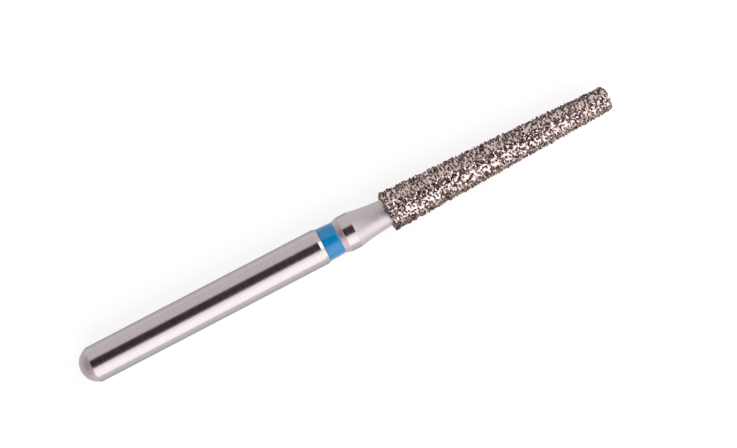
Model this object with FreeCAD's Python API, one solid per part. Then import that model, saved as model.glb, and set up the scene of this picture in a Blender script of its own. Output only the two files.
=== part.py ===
import FreeCAD, Part
import math
import os
import random

# A friction-grip diamond bur with a tapered, flat-ended head, as used in a dental turbine.
# It lies along X. The middle of its butt is the origin, and the head points to +X.
# Lengths are millimetres and angles are degrees.

# Shank: the part that the turbine's chuck grips, with a domed butt and a short lead-in.
shank_diameter = 1.6
shank_length = 11.36
dome_length = 0.555
dome_rim_diameter = 1.555
lead_in_length = 0.07

# Groove for the colour ring, with a bevel on the shank's side and a ramp up to the collar.
bevel_length = 0.155
bevel_depth = 0.052
groove_width = 0.73

# Colour ring: it starts level with the foot of the bevel, swells a little and falls towards the ramp.
ring_thickness = 0.1
ring_fall = 0.03
ring_crown = 0.006

# Collar and neck: the neck is a long hollow curve down to the head.
ramp_length = 0.265
collar_length = 0.465
neck_length = 1.525
neck_diameter = 1.212
neck_curve_radius = 10.0

# Head: its size is taken over the tallest crystals, at the wide end.
head_length = 10.5
head_diameter = 1.8
head_half_angle = 1.85

# Diamond coat: crystals stand on the core and are locked in plated nickel up to bond_thickness.
crystal_height = 0.14
shortest_crystal_height = 0.09
crystal_pitch = 0.18
bond_thickness = 0.065
thinnest_bond = 0.045
coat_edge_thickness = 0.03
crystal_scatter = 0.03
crystal_seed = 18
bore_sides = 36
net_tolerance = 0.0001

# Places along the bur, each worked out from the lengths above.
shank_radius = shank_diameter / 2
lead_in_end = dome_length + lead_in_length
groove_start = shank_length + bevel_length
groove_end = groove_start + groove_width
collar_start = groove_end + ramp_length
collar_end = collar_start + collar_length
head_start = collar_end + neck_length
overall_length = head_start + head_length

# Radii of the ring and the neck. The groove's floor falls as the ring does, so the ring is even.
bevel_foot_radius = shank_radius - bevel_depth
ring_end_radius = bevel_foot_radius - ring_fall
ring_crown_radius = (bevel_foot_radius + ring_end_radius) / 2 + ring_crown
neck_radius = neck_diameter / 2

# The core is the head less one crystal all round.
core_start = head_start + crystal_height
core_end = overall_length - crystal_height
core_start_radius = head_diameter / 2 - crystal_height
core_end_radius = core_start_radius - (core_end - core_start) * math.tan(math.radians(head_half_angle))

# The coat's surface is a net of triangles in rows round the bur. Every third point of a row is the
# tip of a crystal, so each crystal is a six-sided point with nickel at its six corners.
points_per_crystal = 3
row_pitch = crystal_pitch / 2
point_pitch = crystal_pitch / math.sqrt(points_per_crystal)

# Directions out of the core, as angles from the bur's axis.
out_of_shoulder = 180.0
out_of_cone = 90.0 - head_half_angle
out_of_end = 0.0


def at(x, radius, turn=0.0):
    """A point at a place along the bur, a distance from its axis and an angle round it."""
    angle = math.radians(turn)
    return FreeCAD.Vector(x, radius * math.cos(angle), radius * math.sin(angle))


def line(start, end):
    return Part.LineSegment(start, end).toShape()


def path(*points):
    """Straight edges from each point to the next."""
    return [line(start, end) for start, end in zip(points, points[1:])]


def turned(edges):
    """The solid that a closed outline sweeps when it is turned once round the bur's axis."""
    outline = Part.Wire(edges)
    return Part.Face(outline).revolve(at(0, 0), FreeCAD.Vector(1, 0, 0), 360)


def dome_edge():
    """A ball's arc from the axis to the rim of the butt."""
    rim_radius = dome_rim_diameter / 2
    ball_radius = (rim_radius ** 2 + dome_length ** 2) / (2 * dome_length)
    half_angle = math.asin(rim_radius / ball_radius) / 2
    middle = at(ball_radius * (1 - math.cos(half_angle)), ball_radius * math.sin(half_angle))
    return Part.Arc(at(0, 0), middle, at(dome_length, rim_radius)).toShape()


def neck_edge():
    """A hollow arc from the collar's edge down to the neck's straight end under the coat."""
    start = at(collar_end, shank_radius)
    end = at(head_start, neck_radius)
    chord = end - start
    sag = neck_curve_radius - math.sqrt(neck_curve_radius ** 2 - (chord.Length / 2) ** 2)
    towards_axis = FreeCAD.Vector(chord.y, -chord.x, 0).normalize()
    return Part.Arc(start, (start + end) / 2 + towards_axis * sag, end).toShape()


def steel_blank():
    """The turned blank: butt, shank, ring groove, collar, neck and the core inside the head."""
    shank = path(
        at(dome_length, dome_rim_diameter / 2),
        at(lead_in_end, shank_radius),
        at(shank_length, shank_radius),
        at(groove_start, bevel_foot_radius),
        at(groove_start, bevel_foot_radius - ring_thickness),
        at(groove_end, ring_end_radius - ring_thickness),
        at(groove_end, ring_end_radius),
        at(collar_start, shank_radius),
        at(collar_end, shank_radius),
    )
    core = path(
        at(head_start, neck_radius),
        at(core_start, neck_radius),
        at(core_start, core_start_radius),
        at(core_end, core_end_radius),
        at(core_end, 0),
        at(0, 0),
    )
    return turned([dome_edge()] + shank + [neck_edge()] + core)


def colour_ring():
    """The lacquer ring that fills the groove."""
    section = path(
        at(groove_start, bevel_foot_radius - ring_thickness),
        at(groove_start, bevel_foot_radius),
        at((groove_start + groove_end) / 2, ring_crown_radius),
        at(groove_end, ring_end_radius),
        at(groove_end, ring_end_radius - ring_thickness),
        at(groove_start, bevel_foot_radius - ring_thickness),
    )
    return turned(section)


def rows_along(start, end, out_angle):
    """Rows of the coat's net on a straight stretch of the core, both ends included."""
    steps = max(1, round((end - start).Length / row_pitch))
    return [(start + (end - start) * step / steps, out_angle) for step in range(steps + 1)]


def rows_round(corner, out_before, out_after):
    """Rows of the net that bend round one corner of the core."""
    arc_length = math.radians(out_before - out_after) * crystal_height
    steps = max(1, round(arc_length / row_pitch))
    turn = (out_after - out_before) / steps
    return [(corner, out_before + turn * step) for step in range(1, steps)]


def coat_rows():
    """Each row's foot on the core and its way out, from the shoulder along the cone to the flat end."""
    shoulder_foot = at(core_start, neck_radius + row_pitch)
    shoulder_rim = at(core_start, core_start_radius)
    end_rim = at(core_end, core_end_radius)
    end_middle = at(core_end, row_pitch / 2)
    shoulder = rows_along(shoulder_foot, shoulder_rim, out_of_shoulder)
    shoulder_bend = rows_round(shoulder_rim, out_of_shoulder, out_of_cone)
    cone = rows_along(shoulder_rim, end_rim, out_of_cone)
    end_bend = rows_round(end_rim, out_of_cone, out_of_end)
    end = rows_along(end_rim, end_middle, out_of_end)
    return shoulder + shoulder_bend + cone + end_bend + end


def turns_in_row(row, radius):
    """The angles of a row's points. Odd rows sit half a step on, as in a honeycomb."""
    crystals = max(1, round(2 * math.pi * radius / (point_pitch * points_per_crystal)))
    count = crystals * points_per_crystal
    return [360 * (number + row % 2 / 2) / count for number in range(count)]


def is_crystal(row, number):
    return (number - row % 2) % points_per_crystal == 0


def net_point(chance, foot, out_angle, turn, tip):
    """One point of the net: a crystal's tip, or the nickel between crystals."""
    if tip:
        height = chance.uniform(shortest_crystal_height, crystal_height)
    else:
        height = chance.uniform(thinnest_bond, bond_thickness)
    angle = math.radians(out_angle)
    shift = chance.uniform(-crystal_scatter, crystal_scatter)
    x = foot.x + height * math.cos(angle) + shift * math.sin(angle)
    radius = foot.y + height * math.sin(angle) - shift * math.cos(angle)
    side_shift = chance.uniform(-crystal_scatter, crystal_scatter)
    return at(x, radius, turn + math.degrees(side_shift / radius))


def stitch(near, far):
    """Triangles between two rows, taking each next point in the order of its angle."""
    triangles = []
    i, j = 0, 0
    while i < len(near) or j < len(far):
        near_angle = near[i % len(near)][0] + 360 * (i // len(near))
        far_angle = far[j % len(far)][0] + 360 * (j // len(far))
        here, there = near[i % len(near)][1], far[j % len(far)][1]
        if j == len(far) or (i < len(near) and near_angle <= far_angle):
            triangles.append((here, near[(i + 1) % len(near)][1], there))
            i += 1
        else:
            triangles.append((here, far[(j + 1) % len(far)][1], there))
            j += 1
    return triangles


def plain_row(points, x, radius, turns):
    """Adds a smooth row to the net's points and returns it as pairs of angle and place in the list."""
    row = [(turn, len(points) + number) for number, turn in enumerate(turns)]
    points += [at(x, radius, turn) for turn in turns]
    return row


def bore_rows(points):
    """The coat's inside, from its closed end back to the neck, as flats that touch the round core."""
    outwards = 1 / math.cos(math.pi / bore_sides)
    turns = [360 * side / bore_sides for side in range(bore_sides)]
    corners = [
        (core_end, core_end_radius),
        (core_start, core_start_radius),
        (core_start, neck_radius),
        (head_start, neck_radius),
    ]
    return [plain_row(points, x, radius * outwards, turns) for x, radius in corners]


def crust_rows(points):
    """The coat's outside, from its edge on the neck to the flat end."""
    chance = random.Random(crystal_seed)
    edge_radius = neck_radius + coat_edge_thickness
    rows = [plain_row(points, head_start, edge_radius, turns_in_row(0, edge_radius))]
    for row, (foot, out_angle) in enumerate(coat_rows(), start=1):
        bond_radius = foot.y + bond_thickness * math.sin(math.radians(out_angle))
        points_in_row = []
        for number, turn in enumerate(turns_in_row(row, bond_radius)):
            points_in_row.append((turn, len(points)))
            points.append(net_point(chance, foot, out_angle, turn, is_crystal(row, number)))
        rows.append(points_in_row)
    return rows


def diamond_coat():
    """The plated coat as one closed net: out of the bore, over its edge on the neck and along the crust."""
    points = []
    rows = bore_rows(points) + crust_rows(points)
    triangles = []
    for near, far in zip(rows, rows[1:]):
        triangles += stitch(near, far)
    bore_middle, end_middle = len(points), len(points) + 1
    points += [at(core_end, 0), at(core_end + bond_thickness, 0)]
    for (_, index), (_, following) in zip(rows[0], rows[0][1:] + rows[0][:1]):
        triangles.append((index, bore_middle, following))
    for (_, index), (_, following) in zip(rows[-1], rows[-1][1:] + rows[-1][:1]):
        triangles.append((index, following, end_middle))
    net = Part.Shape()
    net.makeShapeFromMesh((points, triangles), net_tolerance)
    return Part.Solid(net)


def main():
    os.makedirs("parts", exist_ok=True)
    nodes = {
        "steel_blank": steel_blank(),
        "colour_ring": colour_ring(),
        "diamond_coat": diamond_coat(),
    }
    for name, shape in nodes.items():
        shape.exportStep(f"parts/{name}.step")
        print(name, len(shape.Faces), "faces", round(shape.Volume, 3), "mm3")


main()
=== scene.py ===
# %% [markdown]
# # A diamond bur, piece by piece
#
# A dental bur is a small rotary tool, 25 mm long. A turbine's chuck grips its smooth steel shank, and
# its far end is a tapered head covered in diamond grit. This lesson rebuilds one in Blender around a
# CAD model that is already packed: the frame. The frame fixes the sizes, and Blender gives the looks.
#
# The bur lies along X. The middle of its domed butt is the origin, and the head points to +X.

# %% Load the frame
import math
import random
import bmesh
import bpy
from mathutils import Matrix, Vector


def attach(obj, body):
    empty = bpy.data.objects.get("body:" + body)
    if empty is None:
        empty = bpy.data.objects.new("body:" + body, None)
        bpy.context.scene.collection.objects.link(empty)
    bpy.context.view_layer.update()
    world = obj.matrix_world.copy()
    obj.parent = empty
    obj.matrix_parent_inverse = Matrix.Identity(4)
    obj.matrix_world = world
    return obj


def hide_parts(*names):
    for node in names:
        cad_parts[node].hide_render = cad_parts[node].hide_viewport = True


MM = 0.001


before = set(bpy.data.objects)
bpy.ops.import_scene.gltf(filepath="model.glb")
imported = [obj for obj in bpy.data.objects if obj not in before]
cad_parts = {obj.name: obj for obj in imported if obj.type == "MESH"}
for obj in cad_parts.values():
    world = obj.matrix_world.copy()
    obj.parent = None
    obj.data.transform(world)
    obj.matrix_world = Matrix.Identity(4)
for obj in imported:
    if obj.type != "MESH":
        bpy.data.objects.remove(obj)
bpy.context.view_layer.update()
print("CAD nodes:", sorted(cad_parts))

# %% [markdown]
# ## Sizes
#
# All lengths below are millimetres, because a bur is drawn in millimetres. Blender works in metres, so
# one function turns a point of the drawing into a point of the scene. The places along the bur are
# those of the CAD model, so every new piece lands where the CAD says, with no fitting.

# %% Sizes of the bur
SHANK_RADIUS = 0.8
DOME_LENGTH = 0.555
DOME_RIM_RADIUS = 0.7775
LEAD_IN_END = 0.625
SHANK_LENGTH = 11.36
BEVEL_FOOT_RADIUS = 0.748
GROOVE_START = 11.515
GROOVE_END = 12.245
GROOVE_DEPTH = 0.1
RING_END_RADIUS = 0.718
COLLAR_START = 12.51
COLLAR_END = 12.975
NECK_RADIUS = 0.606
NECK_CURVE_RADIUS = 10.0
HEAD_START = 14.5
CORE_START = 14.64
CORE_END = 24.86
CORE_START_RADIUS = 0.76
CORE_END_RADIUS = 0.43
TIP = 25.0
print("Overall length:", TIP, "mm, shank diameter:", 2 * SHANK_RADIUS, "mm")

# %% [markdown]
# ## Small helpers
#
# Colours are written as sRGB hex values, as a paint chart gives them. Blender's shaders work in linear
# light, so one function converts them with the curve of the sRGB standard. A second function adds a
# node to a tree, sets it and links it, and a third starts a material with its Principled shader.

# %% Colours, nodes and materials
def linear(hex_colour):
    """An sRGB hex colour as the linear values that a shader takes."""
    channels = [int(hex_colour[at:at + 2], 16) / 255 for at in (1, 3, 5)]
    return [c / 12.92 if c <= 0.04045 else ((c + 0.055) / 1.055) ** 2.4 for c in channels] + [1.0]


def add(tree, kind, inputs=None, **settings):
    """Adds a node. Each input is a value, or another node's socket to link from."""
    made = tree.nodes.new(kind)
    for name, value in settings.items():
        setattr(made, name, value)
    for key, value in (inputs or {}).items():
        if isinstance(value, bpy.types.NodeSocket):
            tree.links.new(value, made.inputs[key])
        else:
            made.inputs[key].default_value = value
    return made


def new_material(name, **sockets):
    """A material whose Principled shader has these sockets set, and its node tree and shader."""
    material = bpy.data.materials.new(name)
    material.use_nodes = True
    tree = material.node_tree
    shader = tree.nodes["Principled BSDF"]
    for label, value in sockets.items():
        shader.inputs[label.replace("_", " ").title().replace("Ior", "IOR")].default_value = value
    return material, tree, shader


print("Mid grey #808080 is", round(linear("#808080")[0], 3), "in linear light")

# %% [markdown]
# ## Steel finishes
#
# The blank is one bar of hardened stainless steel. It shows three finishes, and each is made in its own
# way on the real bur:
#
# - the shank, bevel and collar are centreless ground and polished
# - the butt and the ramp are left as they came out of the tumbling barrel
# - the neck is finish-turned on the lathe
#
# On real steel the same marks change the colour, the gloss and the way light falls, all in step. So each
# material has one pattern of noise, and one function lets it drive all three. Marks that run round the
# bar change along X only, so their noise is squeezed hard along X. The patterns read Object
# coordinates, so they are fixed to the steel and keep their real size.

# %% Patterns and what they change
NOISE_DETAIL = 3.0
NOISE_LOW, NOISE_HIGH = 0.3, 0.7  # noise seldom goes past these, so they stand for the two ends
COLOUR_A, COLOUR_B, MIXED_COLOUR = 6, 7, 2  # a Mix node has sockets for every kind of value


def marks_round(tree, spacing_mm, stretch):
    """Noise in rings round the bar, spacing_mm apart and stretch times as long as they are wide."""
    spot = add(tree, "ShaderNodeTexCoord").outputs["Object"]
    along = 1 / (spacing_mm * MM)
    squeezed = add(
        tree, "ShaderNodeMapping", {"Vector": spot, "Scale": (along, along / stretch, along / stretch)}
    ).outputs["Vector"]
    return add(
        tree, "ShaderNodeTexNoise", {"Vector": squeezed, "Scale": 1.0, "Detail": NOISE_DETAIL}
    ).outputs["Fac"]


def mottle(tree, size_mm):
    """Even, cloudy noise with patches about size_mm across."""
    spot = add(tree, "ShaderNodeTexCoord").outputs["Object"]
    return add(
        tree, "ShaderNodeTexNoise", {"Vector": spot, "Scale": 1 / (size_mm * MM), "Detail": NOISE_DETAIL}
    ).outputs["Fac"]


def finish(tree, shader, pattern, colours, roughness, depth_mm):
    """Lets one pattern vary a surface's colour, its gloss and, by a bump depth_mm deep, its light."""
    amount = add(
        tree, "ShaderNodeMapRange", {"Value": pattern, "From Min": NOISE_LOW, "From Max": NOISE_HIGH}
    ).outputs["Result"]
    tone = add(
        tree, "ShaderNodeMix",
        {"Factor": amount, COLOUR_A: linear(colours[0]), COLOUR_B: linear(colours[1])}, data_type="RGBA",
    )
    gloss = add(
        tree, "ShaderNodeMapRange", {"Value": amount, "To Min": roughness[0], "To Max": roughness[1]}
    )
    relief = add(tree, "ShaderNodeBump", {"Height": pattern, "Strength": 1.0, "Distance": depth_mm * MM})
    tree.links.new(tone.outputs[MIXED_COLOUR], shader.inputs["Base Color"])
    tree.links.new(gloss.outputs["Result"], shader.inputs["Roughness"])
    tree.links.new(relief.outputs["Normal"], shader.inputs["Normal"])


print("A pattern's noise is spread from", NOISE_LOW, "to", NOISE_HIGH)

# %% [markdown]
# ### Ground and polished steel
#
# The shank runs in the turbine's chuck, so it is ground round and then polished. To the eye it is nearly
# a mirror: long white and dark stripes with soft sides. The softness comes from very fine grinding marks
# that run round the bar. They could be cut into the mesh, but they are far less than a thousandth of a
# millimetre deep, so a bump of that depth is enough. Real ones are about 0.01 mm apart. They are drawn
# 0.05 mm apart, about one pixel of the picture, because finer ones wouldn't show.
#
# The roughness starts from 0.2, as for polished steel. The specular tint takes a little off the glow
# that any metal has at its rim.

# %% Ground and polished stainless steel
ground_steel, tree, shader = new_material("ground_steel", metallic=1.0)
shader.inputs["Specular Tint"].default_value = linear("#BEBEBE")
grinding = marks_round(tree, spacing_mm=0.05, stretch=40)
finish(tree, shader, grinding, ("#B4AFB0", "#BBB5B6"), roughness=(0.17, 0.24), depth_mm=0.0003)
print(ground_steel.name, "has fine rings 0.05 mm apart")

# %% [markdown]
# ### Tumbled steel
#
# The blanks are tumbled in a barrel of grit to take the burrs off. The domed butt and the ramp aren't
# polished afterwards, so they stay matte: they show no stripes, only soft light, and they are a little
# darker and slightly mottled. The mottling has no direction, so plain noise makes it. The dents of the
# grit are about 0.03 mm across. They are drawn as patches of 0.09 mm, so that they show.

# %% Tumbled stainless steel
tumbled_steel, tree, shader = new_material("tumbled_steel", metallic=1.0)
clouds = mottle(tree, size_mm=0.09)
finish(tree, shader, clouds, ("#B4A6AC", "#C3B6BB"), roughness=(0.44, 0.56), depth_mm=0.004)
print(tumbled_steel.name, "is matte, mottled in patches of 0.09 mm")

# %% [markdown]
# ### Finish-turned steel
#
# The neck's hollow curve is cut on the lathe and left so. It is satin: a broad, soft light with fine tool
# marks round it. A finishing cut leaves marks about 0.02 mm apart. They are drawn 0.06 mm apart, so
# that they show, and shorter than the grinding marks, because a cutting tool chatters a little.

# %% Finish-turned stainless steel
turned_steel, tree, shader = new_material("turned_steel", metallic=1.0)
tool_marks = marks_round(tree, spacing_mm=0.06, stretch=12)
finish(tree, shader, tool_marks, ("#B3ADAF", "#BFBABC"), roughness=(0.4, 0.5), depth_mm=0.0015)
print(turned_steel.name, "is satin, with tool marks 0.06 mm apart")

# %% [markdown]
# ## Turning a piece on the lathe
#
# The blank is turned from bar, so in Blender it is turned as well: an outline of x and radius, swept
# once round the axis. A Screw modifier could do that too, but here each point of the outline also says
# which finish the wall after it has. 192 sides keep the outline round from any side.
#
# Real edges are never perfectly sharp, so each corner of the outline is eased by a hundredth of a
# millimetre. One more point on each side of a corner keeps the shading of the long walls straight.

# %% Points of an outline
EASE = 0.01  # how far a corner is cut back on each side
SLIGHT_TURN = 0.15  # a corner that turns by less, in radians, stays as it is
SHORTEST_WALL = 4.5 * EASE  # a corner beside a shorter wall stays as it is
MIDDLE_CUT = 0.25  # how far the new middle point lies inside the old corner


def place(x, radius, turn):
    """A point of the drawing, in metres."""
    return Vector((x, radius * math.cos(turn), radius * math.sin(turn))) * MM


def eased(outline):
    """The outline with each sharp corner cut back a little. Points are x, radius and wall."""
    points = [outline[0]]
    for before, corner, after in zip(outline, outline[1:], outline[2:]):
        here = Vector(corner[:2])
        back, ahead = Vector(before[:2]) - here, Vector(after[:2]) - here
        turn = math.pi - back.angle(ahead)
        if turn < SLIGHT_TURN or min(back.length, ahead.length) < SHORTEST_WALL:
            points.append(corner)
            continue
        back.normalize()
        ahead.normalize()
        middle = here + (back + ahead) * EASE * MIDDLE_CUT
        points += [(*(here + back * EASE * 2), before[2]), (*(here + back * EASE), before[2])]
        points += [(*middle, corner[2])]
        points += [(*(here + ahead * EASE), corner[2]), (*(here + ahead * EASE * 2), corner[2])]
    return points + [outline[-1]]


def arc(start, end, sag, steps, wall):
    """Points on a circle from start to end. A positive sag bulges away from the axis."""
    start, end = Vector(start), Vector(end)
    chord = end - start
    radius = (chord.length ** 2 / 4 + sag ** 2) / (2 * abs(sag))
    out = Vector((-chord.y, chord.x)).normalized() * math.copysign(1, sag)
    centre = (start + end) / 2 + out * (abs(sag) - radius)
    half = math.asin(chord.length / 2 / radius)
    made = []
    for step in range(steps + 1):
        angle = half * (2 * step / steps - 1)
        spot = centre + (out * math.cos(angle) + chord.normalized() * math.sin(angle)) * radius
        made.append((spot.x, spot.y, wall))
    return made


print("Corners are eased by", EASE, "mm")

# %% [markdown]
# The lathe itself comes next. A point on the axis is one vertex, and any other point becomes a ring of
# vertices. Neighbouring rings are joined by one band of faces. An outline that starts away from the axis
# is a closed section, such as the colour ring's, so its last ring is joined to its first.

# %% The lathe
SIDES = 192


def band(form, near, far, wall, sides):
    """Faces between two rings. Either may be a single vertex on the axis."""
    for side in range(sides):
        following = (side + 1) % sides
        if len(near) == 1:
            corners = [near[0], far[following], far[side]]
        elif len(far) == 1:
            corners = [near[side], near[following], far[0]]
        else:
            corners = [near[side], near[following], far[following], far[side]]
        face = form.faces.new(corners)
        face.material_index = wall
        face.smooth = True


def turned_mesh(name, outline, sides, materials):
    """Turns an outline round the bur's axis. A point's wall number picks the material after it."""
    form = bmesh.new()
    rings = []
    for x, radius, _ in outline:
        turns = [2 * math.pi * side / sides for side in range(1 if radius == 0 else sides)]
        rings.append([form.verts.new(place(x, radius, turn)) for turn in turns])
    for near, far, (_, _, wall) in zip(rings, rings[1:], outline):
        band(form, near, far, wall, sides)
    if outline[0][1] != 0:
        band(form, rings[-1], rings[0], outline[-1][2], sides)
    bmesh.ops.recalc_face_normals(form, faces=form.faces)
    mesh = bpy.data.meshes.new(name)
    form.to_mesh(mesh)
    form.free()
    for material in materials:
        mesh.materials.append(material)
    piece = bpy.data.objects.new(name, mesh)
    bpy.context.scene.collection.objects.link(piece)
    return piece


def report(piece):
    """Prints a piece's triangles and size."""
    triangles = sum(len(face.vertices) - 2 for face in piece.data.polygons)
    size = [round(value / MM, 3) for value in piece.dimensions]
    print(piece.name, "has", triangles, "triangles and measures", size, "mm")


print("The lathe turns", SIDES, "sides")

# %% [markdown]
# ## The turned blank
#
# One bar carries everything: the domed butt, the lead-in that helps it into the chuck, the shank, a
# bevel, the groove for the colour ring, the ramp, the collar, the hollow neck, and the core that runs
# up inside the head. It could be a stack of cylinders, but one outline leaves no seams and lets the
# light run over the edges. The dome is part of a ball and the neck part of a large circle, so both
# are arcs. Each arc is drawn from its sag, the height of its middle over its chord.

# %% Arcs of the dome and the neck
GROUND, TUMBLED, TURNED = 0, 1, 2
DOME_STEPS, NECK_STEPS = 20, 24
dome_chord = math.hypot(DOME_LENGTH, DOME_RIM_RADIUS)
ball_radius = (DOME_RIM_RADIUS ** 2 + DOME_LENGTH ** 2) / (2 * DOME_LENGTH)
dome_sag = ball_radius - math.sqrt(ball_radius ** 2 - (dome_chord / 2) ** 2)
dome = arc((0, 0), (DOME_LENGTH, DOME_RIM_RADIUS), dome_sag, DOME_STEPS, TUMBLED)
dome[0] = (0, 0, TUMBLED)
dome[-1] = (DOME_LENGTH, DOME_RIM_RADIUS, GROUND)
neck_chord = Vector((HEAD_START - COLLAR_END, NECK_RADIUS - SHANK_RADIUS))
neck_sag = NECK_CURVE_RADIUS - math.sqrt(NECK_CURVE_RADIUS ** 2 - (neck_chord.length / 2) ** 2)
neck = arc((COLLAR_END, SHANK_RADIUS), (HEAD_START, NECK_RADIUS), -neck_sag, NECK_STEPS, TURNED)
print("Sag of the dome:", round(dome_sag, 3), "mm, of the neck:", round(neck_sag, 3), "mm")

# %% Turn the blank
# The last point of the body lies just down the neck. It only shows eased() which way the collar's edge
# turns, so it is left out again, like the first point, which the dome already has.
down_the_neck = (COLLAR_END + 0.05, SHANK_RADIUS - 0.0101, TURNED)
body = eased([
    (DOME_LENGTH, DOME_RIM_RADIUS, GROUND),
    (LEAD_IN_END, SHANK_RADIUS, GROUND),
    (SHANK_LENGTH, SHANK_RADIUS, GROUND),
    (GROOVE_START, BEVEL_FOOT_RADIUS, GROUND),
    (GROOVE_START, BEVEL_FOOT_RADIUS - GROOVE_DEPTH, TUMBLED),
    (GROOVE_END, RING_END_RADIUS - GROOVE_DEPTH, TUMBLED),
    (GROOVE_END, RING_END_RADIUS, TUMBLED),
    (COLLAR_START, SHANK_RADIUS, GROUND),
    (COLLAR_END, SHANK_RADIUS, TURNED),
    down_the_neck,
])[1:-1]
core = [
    (CORE_START, NECK_RADIUS, TURNED),
    (CORE_START, CORE_START_RADIUS, TURNED),
    (CORE_END, CORE_END_RADIUS, TURNED),
    (CORE_END, 0, TURNED),
]
blank_outline = dome + body + neck[1:] + core
steels = [ground_steel, tumbled_steel, turned_steel]
turned_blank = turned_mesh("turned_blank", blank_outline, SIDES, steels)
report(turned_blank)

# %% [markdown]
# ## The colour ring
#
# The ring tells the grit: blue is medium. It is a coat of lacquer that fills the groove and dries
# slightly crowned. To the eye it is a strong, even blue with one soft stripe of light and a thin
# glossy skin over it. Lacquer is pigment in a clear resin, so the material is a blue base under a clear
# coat. The base's IOR starts from 1.5, as for most resins, and is matched down to 1.35, because the
# coat already gives most of the gloss. A dried skin is never quite flat, so it has long, faint ripples.

# %% Blue lacquer
blue_lacquer, tree, shader = new_material("blue_lacquer", ior=1.35, coat_weight=0.6, coat_roughness=0.08)
ripple = mottle(tree, size_mm=0.25)
finish(tree, shader, ripple, ("#0079B0", "#007FBA"), roughness=(0.2, 0.26), depth_mm=0.003)
print(blue_lacquer.name, "has ripples 0.25 mm long under a clear coat")

# %% Turn the ring
RING_CROWN = 0.006
RING_STEPS = 12
ring_outline = [(GROOVE_START, BEVEL_FOOT_RADIUS - GROOVE_DEPTH, 0)]
ring_outline += arc(
    (GROOVE_START, BEVEL_FOOT_RADIUS), (GROOVE_END, RING_END_RADIUS), RING_CROWN, RING_STEPS, 0
)
ring_outline += [(GROOVE_END, RING_END_RADIUS - GROOVE_DEPTH, 0)]
lacquer_ring = turned_mesh("lacquer_ring", ring_outline, SIDES, [blue_lacquer])
report(lacquer_ring)

# %% [markdown]
# ## The diamond coat
#
# The head is the feature that takes the most skill. Diamond crystals of about 0.11 mm stand close
# together on the core, and nickel is plated round them until only their tops stand out. The nickel
# climbs a little up each crystal, so between the crystals it forms small bright hollows and ridges.
#
# Both pieces follow one rule: where the crystals sit. So one small Geometry Nodes group scatters the
# seats, and two trees use it. The first shapes the nickel between the seats, and the second puts a
# crystal on each seat. The scatter has a fixed seed, so both always agree.
#
# ### Plated nickel
#
# Nickel grows out of a bath as a thin, bright metal with a warm tone. Between the crystals it is a
# crowd of tiny curved mirrors, and those give the head its hard sparkle. The roughness starts from 0.1,
# as for bright plating. The grain of the plating is drawn 0.05 mm wide, coarser than it is, so that
# it shows.

# %% Plated nickel
plated_nickel, tree, shader = new_material("plated_nickel", metallic=1.0)
grain = mottle(tree, size_mm=0.05)
finish(tree, shader, grain, ("#C0B2AE", "#D4C6C2"), roughness=(0.05, 0.1), depth_mm=0.0015)
print(plated_nickel.name, "is bright, with a grain of 0.05 mm")

# %% [markdown]
# ### Diamond grit
#
# Grit is crushed diamond. Diamond has an IOR of 2.42, so each flat face throws a strong highlight, but
# crushed faces aren't polished, so it is slightly rough. A clear crystal set in nickel shows the dark
# hollow behind it. Here that dark is painted shade: most crystals get a dark brown base colour. Some are
# yellow, the grit's own colour, and a few are painted pale blue, which is a painted glint. Glass could be
# used, but two thousand tiny glass pieces are slow and noisy, so a solid colour under diamond's own gloss
# stands in. The tint warms the highlights to match.
#
# Every crystal carries one random number, and a colour ramp turns it into its colour: the yellow tint,
# the painted shade or the painted glint.

# %% Diamond grit
diamond, tree, shader = new_material("diamond", ior=2.42, roughness=0.12)
shader.inputs["Specular Tint"].default_value = linear("#E6C6C0")
# Dark brown and grey-brown are painted shade for the hollow seen through a clear crystal, yellow is the
# grit's own colour, and pale blue is a painted glint.
CRYSTAL_TINTS_SHADE_GLINT = [(0.0, "#1C120F"), (0.6, "#3A2A26"), (0.9, "#6B5853"), (0.975, "#A89450"), (1.0, "#C5D0EC")]
tint_pick = add(tree, "ShaderNodeAttribute", attribute_name="crystal_shade").outputs["Fac"]
ramp = add(tree, "ShaderNodeValToRGB", {"Fac": tint_pick})
ramp.color_ramp.elements[0].color = linear(CRYSTAL_TINTS_SHADE_GLINT[0][1])
ramp.color_ramp.elements[1].color = linear(CRYSTAL_TINTS_SHADE_GLINT[-1][1])
for spot, colour in CRYSTAL_TINTS_SHADE_GLINT[1:-1]:
    ramp.color_ramp.elements.new(spot).color = linear(colour)
tree.links.new(ramp.outputs["Color"], shader.inputs["Base Color"])
print(diamond.name, "has", len(CRYSTAL_TINTS_SHADE_GLINT), "shades from dark brown to pale blue")

# %% [markdown]
# ### The surface that the coat grows on
#
# The coat starts as a smooth turned shell. Its inside, the bore, lies on the steel core. Its outside, the
# crust, lies one nickel thickness further out, and a little more on the flat end, where plating always
# builds up. The crust needs many points, so that it can be shaped between the crystals: its rows
# are 0.028 mm apart, about as far apart as its points are round the head. An attribute marks the
# crust, so that the trees leave the bore alone.

# %% Rows along the crust
ROW = 0.028


def dense(points, step):
    """The outline with points no further apart than step."""
    made = []
    for start, end in zip(points, points[1:]):
        a, b = Vector(start[:2]), Vector(end[:2])
        parts = max(1, math.ceil((b - a).length / step))
        made += [(*(a + (b - a) * part / parts), start[2]) for part in range(parts)]
    return made + [points[-1]]


print("Rows of the crust are", ROW, "mm apart")

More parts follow.
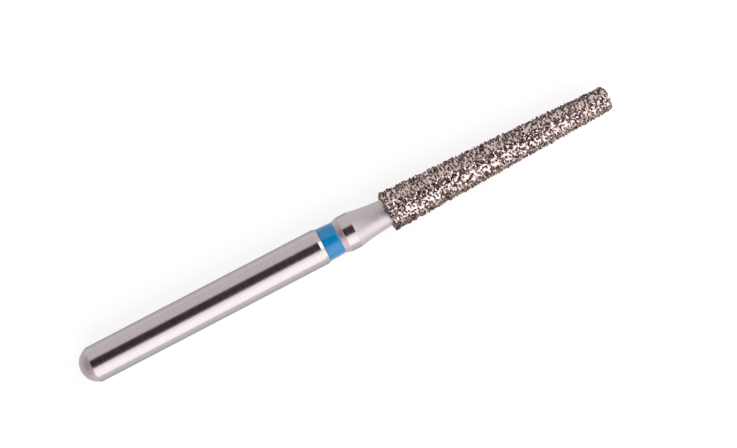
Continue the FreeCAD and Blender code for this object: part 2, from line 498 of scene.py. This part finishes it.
# %% Turn the coat's surface
NICKEL = 0.075  # thickness of the nickel on the cone
END_BUILD_UP = 0.08  # how much thicker it is on the flat end
CORNER = 0.045  # how far the two rims of the head are rounded
EDGE_ON_NECK = 0.03  # the nickel's thin edge lies this far up the neck
EDGE_RISE = 0.06  # and it climbs this much towards the head's back
END_FLARE = 0.004  # plating builds up a little round the end's rim
CRUST, BORE = 0, 1
back_x = CORE_START - NICKEL
rim_radius = CORE_START_RADIUS + NICKEL
end_radius = CORE_END_RADIUS + NICKEL
end_x = CORE_END + NICKEL + END_BUILD_UP
bore_outline = [
    (CORE_END, 0, BORE),
    (CORE_END, CORE_END_RADIUS, BORE),
    (CORE_START, CORE_START_RADIUS, BORE),
    (CORE_START, NECK_RADIUS, BORE),
]
# Both rims are rounded in steps, each a part of CORNER.
crust_outline = dense([
    (HEAD_START + EDGE_ON_NECK, NECK_RADIUS, CRUST),
    (back_x, NECK_RADIUS + EDGE_RISE, CRUST),
    (back_x, rim_radius - CORNER, CRUST),
    (back_x + CORNER * 0.3, rim_radius - CORNER * 0.3, CRUST),
    (back_x + CORNER, rim_radius, CRUST),
    (end_x - CORNER * 2, end_radius + END_FLARE, CRUST),
    (end_x - CORNER * 0.6, end_radius - CORNER * 0.6, CRUST),
    (end_x, end_radius - CORNER * 2, CRUST),
    (end_x, 0, CRUST),
], ROW)
coat_surface = turned_mesh("coat_surface", bore_outline + crust_outline, SIDES, [plated_nickel])
report(coat_surface)

# %% Mark the crust
# The bore's first point is one vertex on the axis, and each of its other points is a ring of vertices.
first_on_crust = 1 + SIDES * (len(bore_outline) - 1)
crust = coat_surface.data.attributes.new("crust", "FLOAT", "POINT")
for vertex, mark in zip(coat_surface.data.vertices, crust.data):
    mark.value = float(vertex.index >= first_on_crust)
print("Vertices on the crust:", len(crust.data) - first_on_crust)

# %% [markdown]
# ### Crystals
#
# Grit is crushed and sorted by sieves, so no two crystals are alike, but all are blocky with flat
# faces and sharp edges. A stretched cube would look cut. Each of six shapes is the hull of nine random
# points near a ball instead, which gives fourteen flat faces and no right angles.

# %% A few crystal shapes
GRIT_SEED = 18
SHAPE_COUNT = 6
SHAPE_CORNERS = 9
SHAPE_RADII = (1.0, 0.8, 0.9)  # along x, y and z, so that a crystal isn't quite round


def crystal_shape(number, chance):
    """A blocky crystal, about two units across."""
    form = bmesh.new()
    for _ in range(SHAPE_CORNERS):
        way = Vector([chance.gauss(0, 1) for _ in range(3)]).normalized()
        form.verts.new(Vector([length * radius for length, radius in zip(way, SHAPE_RADII)]))
    hull = bmesh.ops.convex_hull(form, input=form.verts)
    inside = [part for part in hull["geom_interior"] if isinstance(part, bmesh.types.BMVert)]
    bmesh.ops.delete(form, geom=inside, context="VERTS")
    mesh = bpy.data.meshes.new(f"crystal_shape_{number}")
    form.to_mesh(mesh)
    form.free()
    return bpy.data.objects.new(mesh.name, mesh)


chance = random.Random(GRIT_SEED)
crystal_shapes = bpy.data.collections.new("crystal_shapes")
for number in range(SHAPE_COUNT):
    crystal_shapes.objects.link(crystal_shape(number, chance))

# %% [markdown]
# ### Trees with named inputs
#
# A Geometry Nodes tree is a recipe. Its inputs have names, such as Seed or Grain, so that the same recipe
# can be tried with other sizes. Two helpers follow. One starts a tree with its named sockets. The other
# runs a tree on a surface and keeps the plain mesh that comes out, so that nothing is left to
# calculate later. The trees work in millimetres, because numbers near one are easier to read.

# %% Start a tree, and grow a piece with it
def new_tree(name, inputs, outputs):
    """An empty Geometry Nodes tree with named sockets, its input sockets and its output sockets."""
    tree = bpy.data.node_groups.new(name, "GeometryNodeTree")
    for label, kind in inputs:
        tree.interface.new_socket(label, in_out="INPUT", socket_type="NodeSocket" + kind)
    for label, kind in outputs:
        tree.interface.new_socket(label, in_out="OUTPUT", socket_type="NodeSocket" + kind)
    return tree, add(tree, "NodeGroupInput").outputs, add(tree, "NodeGroupOutput").inputs


def grown(name, surface, tree, values):
    """Runs a tree on a copy of the surface, in millimetres, and keeps the result as a mesh."""
    piece = bpy.data.objects.new(name, surface.data.copy())
    piece.data.transform(Matrix.Scale(1 / MM, 4))
    bpy.context.scene.collection.objects.link(piece)
    modifier = piece.modifiers.new(name, "NODES")
    modifier.node_group = tree
    for item in tree.interface.items_tree:
        if item.in_out == "INPUT" and item.name in values:
            modifier[item.identifier] = values[item.name]
    piece.update_tag()
    evaluated = piece.evaluated_get(bpy.context.evaluated_depsgraph_get())
    mesh = bpy.data.meshes.new_from_object(evaluated)
    piece.modifiers.clear()
    mesh.transform(Matrix.Scale(MM, 4))
    piece.data = mesh
    mesh.name = name
    return piece


print("One millimetre is", MM, "m, so a surface is scaled by", round(1 / MM), "before it goes in")

# %% [markdown]
# ### Seats
#
# On the real head the crystals lie as close as they can without sitting on each other. A Poisson scatter
# does the same: it throws points on the faces at random and drops those that are too close to another.
# A grid would show as rows. Only faces that lie wholly on the crust get seats.

# %% The seats' tree
WHOLLY_ON_CRUST = 0.9  # a face's mark is the mean of its corners' marks, which are 0 or 1
SEAT_INPUTS = [
    ("Surface", "Geometry"), ("Closest", "Float"), ("Crystals per mm2", "Float"), ("Seed", "Int"),
]
seats, given, result = new_tree(
    "crystal_seats", SEAT_INPUTS, [("Points", "Geometry"), ("Normal", "Vector")]
)
on_crust = add(seats, "GeometryNodeInputNamedAttribute", {"Name": "crust"}, data_type="FLOAT").outputs[0]
chosen = add(
    seats, "FunctionNodeCompare", {0: on_crust, 1: WHOLLY_ON_CRUST},
    data_type="FLOAT", operation="GREATER_THAN",
).outputs[0]
outside = add(
    seats, "GeometryNodeSeparateGeometry", {"Geometry": given["Surface"], "Selection": chosen},
    domain="FACE",
).outputs[0]
scatter = add(
    seats, "GeometryNodeDistributePointsOnFaces",
    {
        "Mesh": outside, "Distance Min": given["Closest"],
        "Density Max": given["Crystals per mm2"], "Seed": given["Seed"],
    },
    distribute_method="POISSON",
).outputs
seats.links.new(scatter["Points"], result["Points"])
seats.links.new(scatter["Normal"], result["Normal"])
print(seats.name, "has", len(seats.nodes), "nodes")

# %% [markdown]
# ### Nickel between the crystals
#
# Plating is never level. It climbs a little where it meets a crystal, it swells and sinks between them,
# and on average it lies below the crystals' tops. So every point of the crust moves along its normal by
# the sum of three parts:
#
# - Climb: full as far as Crystal Radius from a seat, and faded to nothing at Reach
# - Relief: how far noise lifts or sinks the nickel, in waves as long as Grain
# - Sink: how far the whole crust is lowered
#
# The waves could be a bump in the material, but then the head's outline would be straight and its
# hollows couldn't hide behind its ridges.

# %% The nickel's tree
WAVE_DETAIL = 2.0
NOISE_MIDDLE = 0.5
nickel_tree, given, result = new_tree(
    "nickel_between_crystals",
    SEAT_INPUTS + [
        ("Crystal Radius", "Float"), ("Reach", "Float"), ("Climb", "Float"), ("Relief", "Float"),
        ("Grain", "Float"), ("Sink", "Float"),
    ],
    [("Geometry", "Geometry")],
)
seat = add(
    nickel_tree, "GeometryNodeGroup", {label: given[label] for label, _ in SEAT_INPUTS}, node_tree=seats
).outputs
near = add(
    nickel_tree, "GeometryNodeProximity", {"Target": seat["Points"]}, target_element="POINTS"
).outputs["Distance"]
climb = add(
    nickel_tree, "ShaderNodeMapRange",
    {
        "Value": near, "From Min": given["Crystal Radius"], "From Max": given["Reach"],
        "To Min": given["Climb"], "To Max": 0.0,
    },
    interpolation_type="SMOOTHSTEP",
).outputs["Result"]
waves = add(nickel_tree, "ShaderNodeMath", {0: 1.0, 1: given["Grain"]}, operation="DIVIDE").outputs[0]
rough = add(nickel_tree, "ShaderNodeTexNoise", {"Scale": waves, "Detail": WAVE_DETAIL}).outputs["Fac"]
centred = add(nickel_tree, "ShaderNodeMath", {0: NOISE_MIDDLE, 1: rough}, operation="SUBTRACT").outputs[0]
hollow = add(
    nickel_tree, "ShaderNodeMath", {0: centred, 1: given["Relief"], 2: given["Sink"]},
    operation="MULTIPLY_ADD",
).outputs[0]
rise = add(nickel_tree, "ShaderNodeMath", {0: climb, 1: hollow}, operation="SUBTRACT").outputs[0]

# %% Move the crust
on_crust = add(
    nickel_tree, "GeometryNodeInputNamedAttribute", {"Name": "crust"}, data_type="FLOAT"
).outputs[0]
height = add(nickel_tree, "ShaderNodeMath", {0: rise, 1: on_crust}, operation="MULTIPLY").outputs[0]
normal = add(nickel_tree, "GeometryNodeInputNormal").outputs[0]
lift = add(nickel_tree, "ShaderNodeVectorMath", {0: normal, "Scale": height}, operation="SCALE").outputs[0]
moved = add(
    nickel_tree, "GeometryNodeSetPosition", {"Geometry": given["Surface"], "Offset": lift}
).outputs[0]
real = add(nickel_tree, "GeometryNodeRealizeInstances", {"Geometry": moved}).outputs[0]
finished = add(nickel_tree, "GeometryNodeSetMaterial", {"Geometry": real, "Material": plated_nickel})
nickel_tree.links.new(finished.outputs[0], result["Geometry"])
print(nickel_tree.name, "has", len(nickel_tree.nodes), "nodes")

# %% [markdown]
# ### Crystals on their seats
#
# Each seat gets one of the six shapes, turned at random, because crystals fall as they like. A sieve lets
# a range of sizes through, so the size is drawn between Smallest and Largest. The top of each crystal
# then stands between Lowest Top and Highest Top over the crust, and the rest of it is under the
# nickel. Placing the tops, not the middles, keeps small crystals from drowning.

# %% The crystals' tree
# A Random Value node keeps sockets for every kind of value; these are the ones for plain numbers.
LOW, HIGH, NUMBER = 2, 3, 1
TOP_SEED, SPIN_SEED, SIZE_SEED, TINT_PICK_SEED = 3, 5, 7, 9
FULL_TURN = (math.tau, math.tau, math.tau)
crystal_tree, given, result = new_tree(
    "crystals_on_seats",
    SEAT_INPUTS + [
        ("Smallest", "Float"), ("Largest", "Float"), ("Lowest Top", "Float"), ("Highest Top", "Float"),
    ],
    [("Geometry", "Geometry")],
)
seat = add(
    crystal_tree, "GeometryNodeGroup", {label: given[label] for label, _ in SEAT_INPUTS}, node_tree=seats
).outputs
size = add(
    crystal_tree, "FunctionNodeRandomValue",
    {LOW: given["Smallest"], HIGH: given["Largest"], "Seed": SIZE_SEED}, data_type="FLOAT",
).outputs[NUMBER]
top = add(
    crystal_tree, "FunctionNodeRandomValue",
    {LOW: given["Lowest Top"], HIGH: given["Highest Top"], "Seed": TOP_SEED}, data_type="FLOAT",
).outputs[NUMBER]
rise = add(crystal_tree, "ShaderNodeMath", {0: top, 1: size}, operation="SUBTRACT").outputs[0]
offset = add(
    crystal_tree, "ShaderNodeVectorMath", {0: seat["Normal"], "Scale": rise}, operation="SCALE"
).outputs[0]
raised = add(
    crystal_tree, "GeometryNodeSetPosition", {"Geometry": seat["Points"], "Offset": offset}
).outputs[0]
shapes = add(
    crystal_tree, "GeometryNodeCollectionInfo",
    {"Collection": crystal_shapes, "Separate Children": True, "Reset Children": True},
).outputs[0]
spin = add(
    crystal_tree, "FunctionNodeRandomValue", {0: (0, 0, 0), 1: FULL_TURN, "Seed": SPIN_SEED},
    data_type="FLOAT_VECTOR",
).outputs[0]
placed = add(
    crystal_tree, "GeometryNodeInstanceOnPoints",
    {"Points": raised, "Instance": shapes, "Pick Instance": True, "Rotation": spin, "Scale": size},
).outputs[0]

# %% Give each crystal its tint, painted shade or painted glint
# One random number per crystal picks its yellow tint, its painted dark shade or its painted pale blue
# glint.
tone = add(
    crystal_tree, "FunctionNodeRandomValue", {"Seed": TINT_PICK_SEED}, data_type="FLOAT"
).outputs[NUMBER]
kept = add(
    crystal_tree, "GeometryNodeStoreNamedAttribute",
    {"Geometry": placed, "Name": "crystal_shade", "Value": tone}, data_type="FLOAT", domain="INSTANCE",
).outputs[0]
real = add(crystal_tree, "GeometryNodeRealizeInstances", {"Geometry": kept}).outputs[0]
finished = add(crystal_tree, "GeometryNodeSetMaterial", {"Geometry": real, "Material": diamond})
crystal_tree.links.new(finished.outputs[0], result["Geometry"])
print(crystal_tree.name, "has", len(crystal_tree.nodes), "nodes")

# %% [markdown]
# ### Growing both pieces
#
# Medium grit is about 0.11 mm, so seats are at least 0.1 mm apart. All lengths below are millimetres. A
# shape is about two units across, so Smallest and Largest are half a crystal's width. The crystals are
# drawn a little larger than the grit, because only their tops show. The nickel's waves are 0.17 mm
# long, a little more than the way from one crystal to the next. Both trees get the same seat values,
# so each crystal stands where the nickel climbs.

# %% Grow the coat
seat_values = {"Closest": 0.1, "Crystals per mm2": 140.0, "Seed": GRIT_SEED}
nickel_bond = grown("nickel_bond", coat_surface, nickel_tree, seat_values | {
    "Crystal Radius": 0.05, "Reach": 0.1, "Climb": 0.01, "Relief": 0.08, "Grain": 0.17, "Sink": 0.045,
})
diamond_crystals = grown("diamond_crystals", coat_surface, crystal_tree, seat_values | {
    "Smallest": 0.06, "Largest": 0.1, "Lowest Top": 0.04, "Highest Top": 0.095,
})
report(nickel_bond)
report(diamond_crystals)
bpy.data.objects.remove(coat_surface)

# %% Turn the nickel's faces outwards
form = bmesh.new()
form.from_mesh(nickel_bond.data)
bmesh.ops.recalc_face_normals(form, faces=form.faces)
print(nickel_bond.name, "is closed:", all(edge.is_manifold for edge in form.edges))
form.to_mesh(nickel_bond.data)
form.free()

# %% [markdown]
# ## What each piece stands for
#
# The frame's own solids stay in the physics, but they are not shown. Each new piece rides on the one
# body and names and hides the solid it replaces. The table also lists the material slot each piece would
# take its finish from, but nothing here reads it. The nickel and the crystals together stand for the one
# solid of the coat.

# %% Hand the pieces to the frame
for piece, node, slot in [
    (turned_blank, "steel_blank", "steel"),
    (lacquer_ring, "colour_ring", "ring"),
    (nickel_bond, "diamond_coat", "diamond_coat"),
    (diamond_crystals, "diamond_coat", "diamond_coat"),
]:
    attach(piece, "root")
    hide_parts(node)
    print(piece.name, "replaces", node)

# %% [markdown]
# ## The table
#
# The bur lies on a white table and is seen from straight above. A polished cylinder is lit by what it
# reflects, so from here on the surroundings are part of the finish: a large softbox on the right gives
# the broad white stripe, the white room gives the grey left side, and a dark ceiling round the
# camera gives the dark stripe along the middle.
#
# The picture's background is pure white, yet the bur casts a soft shadow on it. A plain white paint
# would throw so much light up that the bur's rims turned white. So the table is painted grey, and it
# glows, but only where it is seen or mirrored. The glow makes it white, and the paint takes the shadow.

# %% White table
FLOOR = -0.9  # just under the lowest crystal
TABLE_PAINT = "#969696"
TABLE_GLOW = 0.75
TABLE_REACH = 1500
white_table = bpy.data.materials.new("white_table")
white_table.use_nodes = True
tree = white_table.node_tree
tree.nodes.clear()
# The glow counts for rays from the camera, from a mirror and through glass, but lights nothing else.
path = add(tree, "ShaderNodeLightPath").outputs
direct = add(
    tree, "ShaderNodeMath", {0: path["Is Camera Ray"], 1: path["Is Glossy Ray"]}, operation="MAXIMUM"
).outputs[0]
seen = add(
    tree, "ShaderNodeMath", {0: direct, 1: path["Is Transmission Ray"]}, operation="MAXIMUM"
).outputs[0]
glow = add(tree, "ShaderNodeMath", {0: seen, 1: TABLE_GLOW}, operation="MULTIPLY")
light = add(tree, "ShaderNodeEmission", {"Color": linear("#FFFFFF"), "Strength": glow.outputs[0]})
paint = add(tree, "ShaderNodeBsdfDiffuse", {"Color": linear(TABLE_PAINT)})
both = add(tree, "ShaderNodeAddShader", {0: paint.outputs[0], 1: light.outputs[0]})
add(tree, "ShaderNodeOutputMaterial", {"Surface": both.outputs[0]})


def flat_sheet(name, low, high, z, material):
    """A level sheet between two corners, in millimetres."""
    mesh = bpy.data.meshes.new(name)
    corners = [(low[0], low[1]), (high[0], low[1]), (high[0], high[1]), (low[0], high[1])]
    mesh.from_pydata([Vector((x, y, z)) * MM for x, y in corners], [], [(0, 1, 2, 3)])
    mesh.materials.append(material)
    sheet = bpy.data.objects.new(name, mesh)
    bpy.context.scene.collection.objects.link(sheet)


flat_sheet("table", (-TABLE_REACH, -TABLE_REACH), (TABLE_REACH, TABLE_REACH), FLOOR, white_table)
print("The table lies at z =", FLOOR, "mm")

# %% [markdown]
# ## The dark ceiling
#
# Above the camera a studio is dark, and the top of the bur mirrors it. The sheet's sides set where
# the dark stripe ends on each side. It reaches further to the left of the picture than to the right. It
# also reaches well past the head's end, because the head tapers, so its top leans that way and
# mirrors what hangs there.

# %% Dark ceiling round the camera
CEILING_HEIGHT = 200
CEILING_LOW, CEILING_HIGH = (-190, -65), (88, 125)  # corners of the sheet, as x and y
dark_ceiling, tree, shader = new_material("dark_ceiling", roughness=1.0)
shader.inputs["Base Color"].default_value = linear("#4A4648")
flat_sheet("ceiling", CEILING_LOW, CEILING_HIGH, CEILING_HEIGHT, dark_ceiling)
print("The ceiling hangs", CEILING_HEIGHT, "mm up")

# %% [markdown]
# ## Softboxes
#
# Three flat lamps face the middle of the bur. The side softbox makes the white stripe. A narrower one
# adds light to its middle, so the stripe swells as it does on a real softbox that is brightest in the
# centre. The end softbox hangs beyond the head's end and lights what leans that way: the bevel, the
# start of the neck, and many of the small mirrors of the head.
#
# A lamp's energy depends on its size. It is worked out here from the brightness that the bur would
# mirror, so a lamp can be made larger without getting brighter.

# %% Softboxes
BUR_MIDDLE = 12.5


def softbox(name, way, distance, width, depth, radiance):
    """A flat lamp that faces the bur from one direction. Its brightness is given as seen."""
    lamp = bpy.data.lights.new(name, "AREA")
    lamp.shape = "RECTANGLE"
    lamp.size, lamp.size_y = width * MM, depth * MM
    lamp.energy = radiance * math.pi * lamp.size * lamp.size_y
    holder = bpy.data.objects.new(name, lamp)
    bpy.context.scene.collection.objects.link(holder)
    way = Vector(way).normalized()
    holder.location = Vector((BUR_MIDDLE, 0, 0)) * MM + way * distance * MM
    holder.rotation_euler = way.to_track_quat("Z", "X").to_euler()
    print(name, "is", width, "by", depth, "mm and", distance, "mm away")


def across(angle):
    """A direction across the bur: an angle from straight up towards the right side of the picture."""
    turn = math.radians(angle)
    return (0, -math.sin(turn), math.cos(turn))


END_LEAN = math.radians(47)
over_the_end = (math.sin(END_LEAN), 0.1, math.cos(END_LEAN))  # and a little to the left
softbox("side_softbox", across(57), distance=160, width=200, depth=320, radiance=0.8)
softbox("side_softbox_middle", across(64), distance=155, width=125, depth=310, radiance=0.27)
softbox("end_softbox", over_the_end, distance=180, width=160, depth=140, radiance=1.4)

# %% [markdown]
# ## The room
#
# The rest of what the steel mirrors is a white room. It is half as bright towards the shank's end, so
# the domed butt and the ramp, which lean that way, are softly shaded and look round.

# %% White room
ROOM_COLOUR = "#FFF7F8"
DIM_FROM, DIM_TO = -0.95, -0.2  # directions along X, where -1 is straight towards the shank's end
DIM_LEVEL = 0.5
room = bpy.data.worlds.new("white_room")
room.use_nodes = True
tree = room.node_tree
way = add(tree, "ShaderNodeTexCoord").outputs["Generated"]
along = add(tree, "ShaderNodeSeparateXYZ", {"Vector": way}).outputs["X"]
level = add(
    tree, "ShaderNodeMapRange",
    {"Value": along, "From Min": DIM_FROM, "From Max": DIM_TO, "To Min": DIM_LEVEL},
)
tree.nodes["Background"].inputs["Color"].default_value = linear(ROOM_COLOUR)
tree.links.new(level.outputs["Result"], tree.nodes["Background"].inputs["Strength"])
bpy.context.scene.world = room
print(room.name, "falls to", DIM_LEVEL, "towards the shank's end")

# %% [markdown]
# ## The camera
#
# The ends of the bur look as they do from straight above it, about 65 mm away. The camera is turned,
# not the bur, so the bur stays along X. The lens is shifted to place the bur in the picture. A tilt
# could do that too, but it would make the shank taper.

# %% Camera
CAMERA_ALONG, CAMERA_HEIGHT = 11.5, 65
PICTURE_TURN = 27.4997
lens = bpy.data.cameras.new("camera")
lens.sensor_width = 36.0
lens.lens = 75.2
lens.clip_start = 0.001
lens.clip_end = 5.0
lens.shift_x = 0.06185
lens.shift_y = 0.02907
camera = bpy.data.objects.new("camera", lens)
bpy.context.scene.collection.objects.link(camera)
camera.location = Vector((CAMERA_ALONG, 0, CAMERA_HEIGHT)) * MM
camera.rotation_euler = (0, 0, -math.radians(PICTURE_TURN))
bpy.context.scene.camera = camera
bpy.context.scene.view_settings.view_transform = "Standard"
print("The camera is", CAMERA_HEIGHT, "mm up and turned by", PICTURE_TURN, "degrees")
